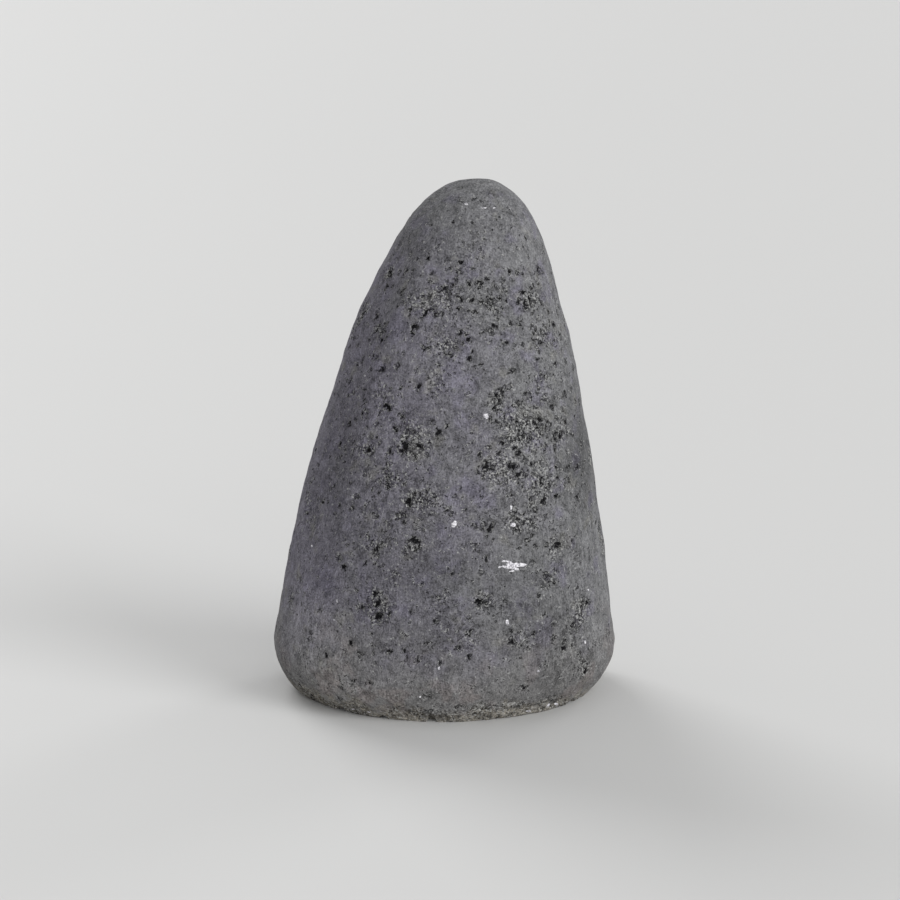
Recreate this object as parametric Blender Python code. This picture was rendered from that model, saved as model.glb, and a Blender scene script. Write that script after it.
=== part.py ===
"""A standing amethyst geode, sawn flat underneath and open in front.

Two pieces: a dark stone shell, shaped like a blunt leaning cone with a thick back, and the bed of
amethyst crystals that lines its hollow. Metres, +Z up. The opening faces -Y and the thick rounded
back faces +Y. The origin is under the middle of the whole stone, on the plane that it stands on.
"""

import math
import random

import bmesh
import bpy
from mathutils import Matrix, Vector, noise

# The stone, before its front is sawn off.
HEIGHT = 0.1887
HALF_WIDTH = 0.0635
WIDEST_AT = 0.0183  # height of the widest level
TAPER = 0.42  # a parabola would be 0.5, and a straight-sided cone 1
FOOT_TUCK = 0.0080  # how far the flank turns under at the foot
FOOT_ROUND = 1.9  # how quickly it turns under
LEAN = 0.0116  # how far the top stands off centre, towards -X
LEAN_CURVE = 1.9
DEPTH_SHARE = 0.875  # depth of either half against the half width
FOOT_SQUARENESS = 1.87  # exponent of the superelliptic section at the foot, 2 being an ellipse
TOP_SQUARENESS = 2.27
SQUARENESS_RISE = 0.020  # height over which it goes most of the way from one to the other

# The sawn front, a plane that leans back.
FRONT_AT_FOOT = 0.031  # how far in front of the widest line the plane meets the ground
FRONT_TILT = math.radians(7.0)

# The hollow behind the sawn front.
WALL = 0.0105  # at the widest level of the hollow
FLOOR = 0.020
CROWN = 0.015
HOLLOW_WIDEST_AT = 0.052
HOLLOW_BACK_SHARE = 0.74  # depth behind the widest line against the hollow's half width
HOLLOW_FRONT_SHARE = 1.06

# The crystal bed and the six-sided points that have grown out of it.
GAP = 0.0003  # between the bed and the shell
BED = 0.0078  # from the shell to the feet of the points
ROOT = 0.0040  # how deep a point is rooted in the bed
SPACING = 0.0112  # between neighbouring points
POINT_RADIUS = 0.0076
POINT_PRISM = 0.0032  # height of its six upright faces over the bed
POINT_TIP = 0.0074  # height of its pyramid
POINT_UNEVEN = 0.30  # share by which the points differ
POINT_STRAY = 0.34  # how far a point leans away from the wall's normal
RIM_MARGIN = 0.0020  # nearest that the foot of a point comes to the sawn front
CROWDED = 0.0160  # where the hollow is narrower than this, the points are smaller
GOLDEN_ANGLE = math.pi * (3 - math.sqrt(5))
SEED = 11

# The broad swells of the skin and of the hollow's wall.
SKIN_SWELL = 0.0012
HOLLOW_SWELL = 0.0045
SWELL_SIZE = 0.042
SWELL_ORIGIN = Vector((3.1, 7.4, 1.9))

STONE_SIDES = 44
STONE_RINGS = 20
FOOT_RINGS = 5
HOLLOW_SIDES = 32
HOLLOW_RINGS = 14
BOWL_SHARE = 0.33  # share of the hollow's rings that its rounded bottom takes
WALK_RINGS = 400  # steps of the walk that spreads the points
SMALL_TURN = 0.01  # in radians, to find the wall's slope
WELD = 0.00002
ON_AXIS = 0.000001


def half_width_at(z):
    """Half width of the stone at a height, along X."""
    if z > WIDEST_AT:
        return HALF_WIDTH * ((HEIGHT - z) / (HEIGHT - WIDEST_AT)) ** TAPER
    return HALF_WIDTH - FOOT_TUCK * (1 - z / WIDEST_AT) ** FOOT_ROUND


def stone_profile():
    """(radius, height) pairs up the stone's side, from the middle of its base to its top."""
    foot = [WIDEST_AT * step / FOOT_RINGS for step in range(FOOT_RINGS)]
    side = [
        HEIGHT - (HEIGHT - WIDEST_AT) * (1 - step / STONE_RINGS) ** 2
        for step in range(STONE_RINGS)
    ]
    return [(0, 0)] + [(half_width_at(z), z) for z in foot + side] + [(0, HEIGHT)]


def hollow_profile(inset, rings):
    """(radius, height) pairs up the hollow, drawn in by inset: a bowl with a sleeve over it."""
    top = HEIGHT - CROWN - inset
    floor = FLOOR + inset
    widest = half_width_at(HOLLOW_WIDEST_AT) - WALL - inset
    pairs = []
    bowl_rings = round(rings * BOWL_SHARE)
    for step in range(bowl_rings):
        turn = math.pi / 2 * step / bowl_rings
        height = HOLLOW_WIDEST_AT - (HOLLOW_WIDEST_AT - floor) * math.cos(turn)
        pairs.append((widest * math.sin(turn), height))
    sleeve_rings = rings - bowl_rings
    for step in range(sleeve_rings + 1):
        left = 1 - step / sleeve_rings
        height = top - (top - HOLLOW_WIDEST_AT) * left ** 2
        pairs.append((widest * left ** (2 * TAPER), height))
    return pairs


def placed(radius, height, angle, back_share, front_share, swell):
    """Point of the superelliptic section of a given half width, on the leaning middle line.

    Broad smooth noise moves it in or out, by up to about the swell.
    """
    fade = math.exp(-height / SQUARENESS_RISE)
    power = 2 / (TOP_SQUARENESS + (FOOT_SQUARENESS - TOP_SQUARENESS) * fade)
    across, along = math.cos(angle), math.sin(angle)
    depth = radius * (back_share if along > 0 else front_share)
    side = Vector((
        math.copysign(abs(across) ** power, across) * radius,
        math.copysign(abs(along) ** power, along) * depth,
        0,
    ))
    lean = LEAN * (height / HEIGHT) ** LEAN_CURVE
    point = side + Vector((-lean, 0, height))
    if radius > 0:
        unevenness = noise.noise(point / SWELL_SIZE + SWELL_ORIGIN)
        point += side.normalized() * swell * unevenness
    return point


def turned(profile, sides, *form):
    """Closed bmesh turned about Z from a profile, then pressed to its section."""
    bm = bmesh.new()
    verts = [bm.verts.new((radius, 0, height)) for radius, height in profile]
    edges = [bm.edges.new(pair) for pair in zip(verts, verts[1:])]
    bmesh.ops.spin(
        bm, geom=verts + edges, axis=(0, 0, 1), cent=(0, 0, 0), angle=2 * math.pi,
        steps=sides, use_merge=True,
    )
    bmesh.ops.remove_doubles(bm, verts=bm.verts, dist=ON_AXIS)
    for vert in bm.verts:
        radius = math.hypot(vert.co.x, vert.co.y)
        angle = math.atan2(vert.co.y, vert.co.x)
        radius = radius if radius > ON_AXIS else 0
        vert.co = placed(radius, vert.co.z, angle, *form)
    bmesh.ops.recalc_face_normals(bm, faces=bm.faces)
    return bm


def stone_blank():
    """The whole stone before its front is sawn off."""
    return turned(stone_profile(), STONE_SIDES, DEPTH_SHARE, DEPTH_SHARE, SKIN_SWELL)


def hollow_form(inset):
    """Depth of the hollow's back and front halves against its half width, and its swell."""
    widest = half_width_at(HOLLOW_WIDEST_AT) - WALL
    back_share = (HOLLOW_BACK_SHARE * widest - inset) / (widest - inset)
    return back_share, HOLLOW_FRONT_SHARE, HOLLOW_SWELL


def hollow_blank(inset):
    """The hollow, drawn in by inset all round."""
    return turned(hollow_profile(inset, HOLLOW_RINGS), HOLLOW_SIDES, *hollow_form(inset))


def behind_front(point):
    """Distance of a point behind the sawn plane."""
    away = Vector((0, math.cos(FRONT_TILT), -math.sin(FRONT_TILT)))
    return (point - Vector((0, -FRONT_AT_FOOT, 0))).dot(away)


def crystal(bm, foot, direction, size, turn):
    """Adds one six-sided crystal with a pyramid at its end."""
    prism = POINT_PRISM * size
    radius = POINT_RADIUS * size
    made = bmesh.ops.create_cone(
        bm, cap_ends=True, segments=6, radius1=radius, radius2=radius, depth=ROOT + prism
    )["verts"]
    bmesh.ops.translate(bm, verts=made, vec=(0, 0, (prism - ROOT) / 2))
    faces = {face for vert in made for face in vert.link_faces}
    cap = max(faces, key=lambda face: face.calc_center_median().z)
    made += bmesh.ops.poke(bm, faces=[cap], offset=POINT_TIP * size)["verts"]
    aim = direction.to_track_quat("Z", "Y").to_matrix() @ Matrix.Rotation(turn, 3, "Z")
    bmesh.ops.rotate(bm, verts=made, cent=(0, 0, 0), matrix=aim)
    bmesh.ops.translate(bm, verts=made, vec=foot)


def points():
    """The crystal points, spread evenly over the bed as seeds are over a sunflower's head."""
    bm = bmesh.new()
    rng = random.Random(SEED)
    profile = hollow_profile(BED, WALK_RINGS)
    form = hollow_form(BED)
    area = 0
    angle = 0
    for (radius, height), (next_radius, next_height) in zip(profile, profile[1:]):
        around = 2 * math.pi * radius
        area += around * math.hypot(next_radius - radius, next_height - height)
        if area < SPACING ** 2:
            continue
        area -= SPACING ** 2
        angle += GOLDEN_ANGLE
        foot = placed(radius, height, angle, *form)
        upward = placed(next_radius, next_height, angle, *form) - foot
        onward = placed(radius, height, angle + SMALL_TURN, *form) - foot
        inward = upward.cross(onward).normalized()
        stray = Vector((rng.uniform(-1, 1), rng.uniform(-1, 1), rng.uniform(-1, 1)))
        size = min(1, radius / CROWDED) * (1 + POINT_UNEVEN * rng.uniform(-1, 1))
        turn = rng.uniform(0, math.pi / 3)
        if behind_front(foot) > RIM_MARGIN:
            crystal(bm, foot, (inward + POINT_STRAY * stray).normalized(), size, turn)
    return bm


def object_from(bm, name, collection):
    bmesh.ops.triangulate(bm, faces=bm.faces)
    mesh = bpy.data.meshes.new(name)
    bm.to_mesh(mesh)
    bm.free()
    made = bpy.data.objects.new(name, mesh)
    collection.objects.link(made)
    return made


def cutter_from(bm, name, collection):
    """An object that only cuts, and is not part of the geode."""
    made = object_from(bm, name, collection)
    made.hide_render = True
    made.display_type = "WIRE"
    return made


def saw_block():
    """A block that fills the space in front of the sawn plane."""
    side = 3 * HEIGHT
    bm = bmesh.new()
    bmesh.ops.create_cube(bm, size=side)
    bmesh.ops.translate(bm, verts=bm.verts, vec=(0, -side / 2, 0))
    tilt = Matrix.Rotation(-FRONT_TILT, 3, "X")
    bmesh.ops.rotate(bm, verts=bm.verts, cent=(0, 0, 0), matrix=tilt)
    bmesh.ops.translate(bm, verts=bm.verts, vec=(0, -FRONT_AT_FOOT, 0))
    return bm


def cut(made, cutter):
    modifier = made.modifiers.new("cut_" + cutter.name, "BOOLEAN")
    modifier.operation = "DIFFERENCE"
    modifier.solver = "EXACT"
    modifier.use_self = cutter.name == "points"
    modifier.object = cutter


def island_of(face):
    """All the faces that hang together with a face."""
    found = {face}
    waiting = [face]
    while waiting:
        neighbours = {other for edge in waiting.pop().edges for other in edge.link_faces}
        waiting += neighbours - found
        found |= neighbours
    return found


def apply_as_one_body(made):
    """Applies the cuts, and fills the pockets that leaning crystals have closed off."""
    graph = bpy.context.evaluated_depsgraph_get()
    mesh = bpy.data.meshes.new_from_object(made.evaluated_get(graph))
    bm = bmesh.new()
    bm.from_mesh(mesh)
    bmesh.ops.remove_doubles(bm, verts=bm.verts, dist=WELD)
    unsorted = set(bm.faces)
    islands = []
    while unsorted:
        islands.append(island_of(next(iter(unsorted))))
        unsorted -= islands[-1]
    largest = max(islands, key=len)
    pockets = [face for face in bm.faces if face not in largest]
    bmesh.ops.delete(bm, geom=pockets, context="FACES")
    bmesh.ops.triangulate(bm, faces=bm.faces)
    bm.to_mesh(mesh)
    bm.free()
    made.modifiers.clear()
    made.data = mesh


def material(name, colour, roughness, transmission=0.0):
    made = bpy.data.materials.new(name)
    made.use_nodes = True
    shader = made.node_tree.nodes["Principled BSDF"]
    shader.inputs["Base Color"].default_value = (*colour, 1)
    shader.inputs["Roughness"].default_value = roughness
    shader.inputs["Metallic"].default_value = 0.0
    shader.inputs["Transmission Weight"].default_value = transmission
    made.diffuse_color = (*colour, 1)
    return made


def centre_on_base(shell):
    """Moves every mesh so that the origin lies under the middle of the shell's box."""
    graph = bpy.context.evaluated_depsgraph_get()
    corners = [Vector(corner) for corner in shell.evaluated_get(graph).bound_box]
    lowest = Vector(min(corner[axis] for corner in corners) for axis in range(3))
    highest = Vector(max(corner[axis] for corner in corners) for axis in range(3))
    middle = (lowest + highest) / 2
    for made in bpy.data.objects:
        made.data.transform(Matrix.Translation((-middle.x, -middle.y, -lowest.z)))


def main():
    for old in list(bpy.data.objects):
        bpy.data.objects.remove(old)
    geode = bpy.data.collections.new("amethyst_geode")
    cutters = bpy.data.collections.new("cutters")
    for collection in (geode, cutters):
        bpy.context.scene.collection.children.link(collection)

    saw = cutter_from(saw_block(), "saw", cutters)
    hollow = cutter_from(hollow_blank(0), "hollow", cutters)
    crystals = cutter_from(points(), "points", cutters)
    free_space = cutter_from(hollow_blank(BED), "free_space", cutters)
    cut(free_space, crystals)

    shell = object_from(stone_blank(), "stone_shell", geode)
    shell.data.materials.append(material("dark_stone", (0.125, 0.123, 0.135), 0.9))
    cut(shell, hollow)
    cut(shell, saw)
    apply_as_one_body(shell)

    bed = object_from(hollow_blank(GAP), "amethyst_crystals", geode)
    bed.data.materials.append(material("amethyst", (0.26, 0.09, 0.42), 0.12, 0.6))
    cut(bed, free_space)
    cut(bed, saw)
    apply_as_one_body(bed)

    centre_on_base(shell)


main()
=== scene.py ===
"""The looks of a standing amethyst geode: its pitted coat, its sawn rim and its crystals."""

import math
import random

import bmesh
import bpy
import numpy as np
from mathutils import Matrix, Vector, kdtree, noise
from mathutils.bvhtree import BVHTree


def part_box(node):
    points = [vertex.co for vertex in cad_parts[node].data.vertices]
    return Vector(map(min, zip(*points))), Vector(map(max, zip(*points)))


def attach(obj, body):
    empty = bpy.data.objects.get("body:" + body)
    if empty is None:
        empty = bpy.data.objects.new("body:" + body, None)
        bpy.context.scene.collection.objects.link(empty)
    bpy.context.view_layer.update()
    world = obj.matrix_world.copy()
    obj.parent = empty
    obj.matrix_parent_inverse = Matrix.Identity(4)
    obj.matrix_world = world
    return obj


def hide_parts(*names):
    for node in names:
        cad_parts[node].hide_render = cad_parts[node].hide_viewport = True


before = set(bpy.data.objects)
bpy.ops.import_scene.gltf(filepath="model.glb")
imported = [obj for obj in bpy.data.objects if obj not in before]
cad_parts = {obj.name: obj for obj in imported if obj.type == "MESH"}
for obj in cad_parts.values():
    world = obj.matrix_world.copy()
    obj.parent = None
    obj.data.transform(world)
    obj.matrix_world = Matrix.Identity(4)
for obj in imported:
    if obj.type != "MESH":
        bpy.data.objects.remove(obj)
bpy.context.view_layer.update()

MM = 0.001

# The stone's form, in metres, as the frame has it.
LOW, HIGH = (Vector(corner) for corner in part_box("stone_shell"))
HEIGHT = HIGH.z
HALF_WIDTH = 0.0635
WIDEST_AT = 0.0183
TAPER = 0.42
FOOT_TUCK = 0.0080
FOOT_ROUND = 1.9
SOLE_EDGE = 0.004
LEAN = 0.0116
LEAN_CURVE = 1.9
DEPTH_SHARE = 0.875
FOOT_SQUARENESS = 1.87
TOP_SQUARENESS = 2.27
SQUARENESS_RISE = 0.020
FRONT_AT_FOOT = 0.031
FRONT_TILT = math.radians(7.0)
AXIS = Vector((0.0001, LOW.y + FRONT_AT_FOOT, 0))
FRONT_FACING = Vector((0, -math.cos(FRONT_TILT), math.sin(FRONT_TILT)))
FRONT_POINT = Vector((0, LOW.y, 0))

# The hollow, and the bed of crystals in it.
WALL = 0.0105
FLOOR = 0.020
CROWN = 0.015
HOLLOW_WIDEST_AT = 0.052
HOLLOW_BACK_SHARE = 0.74
HOLLOW_FRONT_SHARE = 1.06
SEAM = 0.05 * MM
BED = 0.0068
SKIN_SWELL = 0.0012
HOLLOW_SWELL = 0.0045
SWELL_SIZE = 0.042
SWELL_ORIGIN = Vector((3.1, 7.4, 1.9))
RIPPLE = 0.9 * MM
RIPPLE_SIZE = 9 * MM

# The flat strip down one flank: which way it faces, and how deep it cuts.
FLANK_AZIMUTH = math.radians(35)
FLANK_DEPTH = 1.9 * MM
FLANK_FOOT = 0.045
FLANK_TOP = 0.178
FLANK_FADE = 0.020

# How finely the pieces are made.
OUTLINE_STEPS = 600
SKIN_SIDES = 450
SKIN_RINGS = 296
HOLLOW_SIDES = 150
HOLLOW_RINGS = 80
BOWL_SHARE = 0.33
RIM_CUTS = 14
ON_AXIS = 1e-6
GOLDEN_ANGLE = math.pi * (3 - math.sqrt(5))
SHARP_TURN = math.radians(50)
# The second of a piece's two materials, on its sawn faces.
SAWN = 1

# The camera: a long lens, a little under a metre from the stone.
CAMERA_AT = Vector((-2.1, 890.8, 267.6)) * MM
CAMERA_PITCH = math.radians(11.175)
LENS = 100
SENSOR = 36
PICTURE = 900


# ---------------------------------------------------------------- the form


def half_width_at(z):
    """Half width of the stone at a height, along X."""
    if z > WIDEST_AT:
        return HALF_WIDTH * (max(HEIGHT - z, 0) / (HEIGHT - WIDEST_AT)) ** TAPER
    return HALF_WIDTH - FOOT_TUCK * (1 - z / WIDEST_AT) ** FOOT_ROUND


def squareness_at(z):
    """Power of the superellipse at a height."""
    return TOP_SQUARENESS + (FOOT_SQUARENESS - TOP_SQUARENESS) * math.exp(-z / SQUARENESS_RISE)


def lean_at(z):
    return LEAN * (z / HEIGHT) ** LEAN_CURVE


def evenly(curve, count):
    """Radii and heights of points spaced evenly along a polyline."""
    curve = np.array(curve)
    steps = np.linalg.norm(np.diff(curve, axis=0), axis=1)
    along = np.concatenate([[0], np.cumsum(steps)])
    wanted = np.linspace(0, along[-1], count)
    return [np.interp(wanted, along, axis).tolist() for axis in curve.T]


def stone_profile(rings):
    """(radius, height) pairs up the stone's side, from the middle of its base to its top."""
    foot = [WIDEST_AT * step / OUTLINE_STEPS for step in range(OUTLINE_STEPS)]
    side = []
    for step in range(OUTLINE_STEPS + 1):
        left = 1 - step / OUTLINE_STEPS
        side.append(HEIGHT - (HEIGHT - WIDEST_AT) * left ** 3)
    radii, heights = evenly([(half_width_at(z), z) for z in foot + side], rings)
    side = list(zip(radii, heights))[:-1]
    return [(0, 0), (radii[0] - SOLE_EDGE, 0)] + side + [(0, HEIGHT)]


def hollow_profile(inset, rings):
    """(radius, height) pairs up the hollow, drawn in by inset: a bowl with a sleeve over it."""
    top = HEIGHT - CROWN - inset
    floor = FLOOR + inset
    widest = half_width_at(HOLLOW_WIDEST_AT) - WALL - inset
    pairs = []
    bowl_rings = round(rings * BOWL_SHARE)
    for step in range(bowl_rings):
        turn = math.pi / 2 * step / bowl_rings
        height = HOLLOW_WIDEST_AT - (HOLLOW_WIDEST_AT - floor) * math.cos(turn)
        pairs.append((widest * math.sin(turn), height))
    sleeve_rings = rings - bowl_rings
    for step in range(sleeve_rings + 1):
        left = 1 - step / sleeve_rings
        height = top - (top - HOLLOW_WIDEST_AT) * left ** 2
        pairs.append((widest * left ** (2 * TAPER), height))
    return pairs


def hollow_form(inset):
    """Depth of the hollow's back and front halves against its half width, swell and ripple."""
    widest = half_width_at(HOLLOW_WIDEST_AT) - WALL
    back_share = (HOLLOW_BACK_SHARE * widest - inset) / (widest - inset)
    return back_share, HOLLOW_FRONT_SHARE, HOLLOW_SWELL, RIPPLE


def placed(radius, height, angle, back_share, front_share, swell, ripple=0):
    """Point of the superelliptic section of a given half width, on the leaning middle line."""
    power = 2 / squareness_at(height)
    across, along = math.cos(angle), math.sin(angle)
    depth = radius * (back_share if along > 0 else front_share)
    side = Vector((
        math.copysign(abs(across) ** power, across) * radius,
        math.copysign(abs(along) ** power, along) * depth,
        0,
    ))
    point = side + Vector((-lean_at(height), 0, height))
    if radius > 0:
        unevenness = swell * noise.noise(point / SWELL_SIZE + SWELL_ORIGIN)
        unevenness += ripple * noise.noise(point / RIPPLE_SIZE)
        point += side.normalized() * unevenness
    return point + AXIS


def turned(profile, sides, *form):
    """Closed bmesh: a grid wrapped round Z along a profile, pressed to its section and seamed."""
    bm = bmesh.new()
    last = len(profile) - 1
    bmesh.ops.create_grid(bm, x_segments=sides, y_segments=last, size=1)
    for vert in bm.verts:
        radius, height = profile[round((vert.co.y + 1) / 2 * last)]
        vert.co = placed(radius, height, math.pi * vert.co.x, *form)
    bmesh.ops.remove_doubles(bm, verts=bm.verts, dist=ON_AXIS)
    bmesh.ops.recalc_face_normals(bm, faces=bm.faces)
    return bm


def behind_front(point):
    """Distance of a point behind the sawn plane."""
    return -(point - FRONT_POINT).dot(FRONT_FACING)


def saw_front(bm):
    """Cuts off all that stands in front of the sawn plane, and returns the edges of the cut."""
    bmesh.ops.bisect_plane(
        bm, geom=bm.verts[:] + bm.edges[:] + bm.faces[:], dist=ON_AXIS,
        plane_co=FRONT_POINT, plane_no=FRONT_FACING, clear_outer=True,
    )
    return [edge for edge in bm.edges if len(edge.link_faces) == 1]


def close_rim(bm):
    """Saws the front off two nested forms and fills the ring between them with a fine grid."""
    rim = bmesh.ops.bridge_loops(bm, edges=saw_front(bm))
    for face in rim["faces"]:
        face.material_index = SAWN
    bmesh.ops.subdivide_edges(bm, edges=rim["edges"], cuts=RIM_CUTS, use_grid_fill=True)


def append(bm, other, flip=False):
    """Copies one bmesh into another."""
    mesh = bpy.data.meshes.new("passing")
    if flip:
        bmesh.ops.reverse_faces(other, faces=other.faces)
    other.to_mesh(mesh)
    other.free()
    bm.from_mesh(mesh)
    bpy.data.meshes.remove(mesh)


def piece(bm, name, materials, replaced, smooth=True):
    """Makes an object of a bmesh, and hides the CAD node it replaces."""
    for face in bm.faces:
        face.smooth = smooth
    mesh = bpy.data.meshes.new(name)
    bm.to_mesh(mesh)
    bm.free()
    made = bpy.data.objects.new(name, mesh)
    bpy.context.scene.collection.objects.link(made)
    for finish in materials:
        mesh.materials.append(finish)
    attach(made, "root")
    if replaced:
        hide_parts(replaced)
    return made


# ---------------------------------------------------------------- materials


class Signal:
    """A shader socket that can be used in sums."""

    def __init__(self, tree, socket):
        self.tree = tree
        self.socket = socket

    def _math(self, operation, first, second):
        node = self.tree.nodes.new("ShaderNodeMath")
        node.operation = operation
        for slot, value in zip(node.inputs, (first, second)):
            if isinstance(value, Signal):
                self.tree.links.new(value.socket, slot)
            else:
                slot.default_value = value
        return Signal(self.tree, node.outputs[0])

    def __add__(self, other):
        return self._math("ADD", self, other)

    def __radd__(self, other):
        return self._math("ADD", other, self)

    def __sub__(self, other):
        return self._math("SUBTRACT", self, other)

    def __rsub__(self, other):
        return self._math("SUBTRACT", other, self)

    def __mul__(self, other):
        return self._math("MULTIPLY", self, other)

    def __rmul__(self, other):
        return self._math("MULTIPLY", other, self)


class Finish:
    """A material under construction."""

    def __init__(self, name):
        self.material = bpy.data.materials.new(name)
        self.material.use_nodes = True
        self.tree = self.material.node_tree
        self.shader = self.tree.nodes["Principled BSDF"]
        self.place = self.node("ShaderNodeTexCoord", "Object")

    def node(self, kind, output, settings=None, sockets=None):
        """Adds a node, and returns the signal of one of its outputs."""
        made = self.tree.nodes.new(kind)
        settings = dict(settings or {})
        stops = settings.pop("stops", None)
        for name, value in settings.items():
            setattr(made, name, value)
        if stops:
            ramp = made.color_ramp
            while len(ramp.elements) < len(stops):
                ramp.elements.new(0.5)
            for element, (position, colour) in zip(ramp.elements, stops):
                element.position = position
                element.color = (*colour, 1)
        for name, value in (sockets or {}).items():
            if isinstance(value, Signal):
                self.tree.links.new(value.socket, made.inputs[name])
            else:
                made.inputs[name].default_value = value
        return Signal(self.tree, made.outputs[output])

    def attribute(self, name):
        return self.node("ShaderNodeAttribute", "Fac", {"attribute_name": name})

    def axis(self, letter):
        return self.node("ShaderNodeSeparateXYZ", letter, None, {"Vector": self.place})

    def grey(self, signal):
        """A signal as a colour, for multiplying one by."""
        channels = {"Red": signal, "Green": signal, "Blue": signal}
        return self.node("ShaderNodeCombineColor", "Color", None, channels)

    def stretched(self, scale):
        """The place, with patterns drawn out along an axis where its scale is small."""
        sockets = {"Vector": self.place, "Scale": scale}
        return self.node("ShaderNodeMapping", "Vector", None, sockets)

    def cloud(self, size, detail=3.0, rough=0.5, vector=None, warp=0.0):
        """Noise from 0 to 1 with lumps of a given size in metres."""
        return self.node(
            "ShaderNodeTexNoise", "Fac", None,
            {
                "Vector": vector or self.place, "Scale": 1 / size, "Detail": detail,
                "Roughness": rough, "Distortion": warp,
            },
        )

    def cells(self, size, vector=None, metric="EUCLIDEAN"):
        """Distance to the nearest of scattered points, in units of their spacing."""
        return self.node(
            "ShaderNodeTexVoronoi", "Distance", {"distance": metric},
            {"Vector": vector or self.place, "Scale": 1 / size},
        )

    def ramp(self, signal, low, high):
        """0 below low and 1 above high, with a smooth step between; also falls if high < low."""
        return self.node(
            "ShaderNodeMapRange", "Result", {"interpolation_type": "SMOOTHSTEP"},
            {"Value": signal, "From Min": low, "From Max": high},
        )

    def crossing(self, signal, level, width):
        """1 where a signal crosses a level, falling to 0 a width above and below it."""
        return self.ramp(signal, level - width, level) * self.ramp(signal, level + width, level)

    def blend(self, factor, first, second, mode="MIX"):
        """Mixes two colours."""
        def colour(value):
            return value if isinstance(value, Signal) else (*value, 1)
        return self.node(
            "ShaderNodeMix", 2, {"data_type": "RGBA", "blend_type": mode},
            {0: factor, 6: colour(first), 7: colour(second)},
        )

    def warped(self, amount, size):
        """The place, shifted about by coloured noise."""
        shift = self.node(
            "ShaderNodeTexNoise", "Color", None,
            {"Vector": self.place, "Scale": 1 / size, "Detail": 2.0},
        )
        centred = self.node(
            "ShaderNodeVectorMath", 0, {"operation": "SUBTRACT"}, {0: shift, 1: (0.5, 0.5, 0.5)}
        )
        scaled = self.node(
            "ShaderNodeVectorMath", 0, {"operation": "MULTIPLY"}, {0: centred, 1: (amount,) * 3}
        )
        return self.node(
            "ShaderNodeVectorMath", 0, {"operation": "ADD"}, {0: self.place, 1: scaled}
        )

    def bump(self, height, depth):
        """Surface normal from a height signal, whose unit stands for a depth in metres."""
        sockets = {"Height": height, "Distance": depth, "Strength": 1.0}
        return self.node("ShaderNodeBump", "Normal", None, sockets)

    def set(self, **values):
        """Sets or links the shader's own sockets."""
        for name, value in values.items():
            socket = self.shader.inputs[name.replace("_", " ")]
            if isinstance(value, Signal):
                self.tree.links.new(value.socket, socket)
            elif isinstance(value, tuple):
                socket.default_value = (*value, 1)
            else:
                socket.default_value = value


# Colours of the coat.
CEMENT = (0.1385, 0.1390, 0.1435)
VIOLET_CEMENT = (0.134, 0.128, 0.153)
MAUVE = (0.128, 0.121, 0.156)
SOIL = (0.142, 0.138, 0.135)
RUDDY_SOIL = (0.168, 0.137, 0.128)
DUST = (0.164, 0.161, 0.148)
CRUST = (0.245, 0.225, 0.188)
CRUMB = (0.42, 0.40, 0.37)
# Pale specks, partly real grains and partly painted glints.
FLECK_AND_GLINT = (0.40, 0.40, 0.39)
# Painted highlight for the raised rim round each pit and along each crack.
LIP_HIGHLIGHT = (0.38, 0.38, 0.375)
# Painted shade for the insides of pits, holes and cracks.
PAINTED_PIT_SHADE = (0.004, 0.004, 0.005)

# Colours of the sawn rock.
DARK_ROCK = (0.036, 0.042, 0.042)
PALE_ROCK = (0.066, 0.064, 0.060)
ROCK_SPECK = (0.130, 0.138, 0.130)
ROCK_SHADE = (0.014, 0.016, 0.016)
ROCK_RUST = (0.092, 0.066, 0.050)
ROCK_VEIN = (0.150, 0.160, 0.150)
DROP_RING = (0.020, 0.026, 0.024)
DROP_HEART = (0.300, 0.330, 0.300)
ROCK_WORN = (0.125, 0.121, 0.126)

# Colours of the quartz, and of the agate's bands from its outer side inwards.
PALE_VIOLET = (0.54, 0.42, 0.68)
DEEP_VIOLET = (0.115, 0.016, 0.300)
BRIGHT_VIOLET = (0.340, 0.120, 0.610)
DARK_GROUND = (0.07, 0.025, 0.18)
PALE_GROUND = (0.20, 0.11, 0.36)
DULL_CHALK = (0.30, 0.29, 0.32)
CHALK = (0.72, 0.71, 0.74)
RIPE_VIOLET = (0.130, 0.042, 0.285)
VEIL = (0.62, 0.58, 0.70)
AGATE_BANDS = [
    (0.00, (0.040, 0.055, 0.050)),
    (0.05, (0.150, 0.185, 0.170)),
    (0.09, (0.070, 0.095, 0.105)),
    (0.13, (0.240, 0.285, 0.310)),
    (0.16, (0.100, 0.130, 0.160)),
    (0.21, (0.360, 0.390, 0.420)),
    (0.24, (0.140, 0.165, 0.210)),
    (0.30, (0.440, 0.450, 0.480)),
    (0.33, (0.200, 0.210, 0.270)),
    (0.39, (0.520, 0.520, 0.540)),
    (0.50, (0.400, 0.380, 0.440)),
    (0.80, (0.330, 0.270, 0.420)),
]


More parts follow.
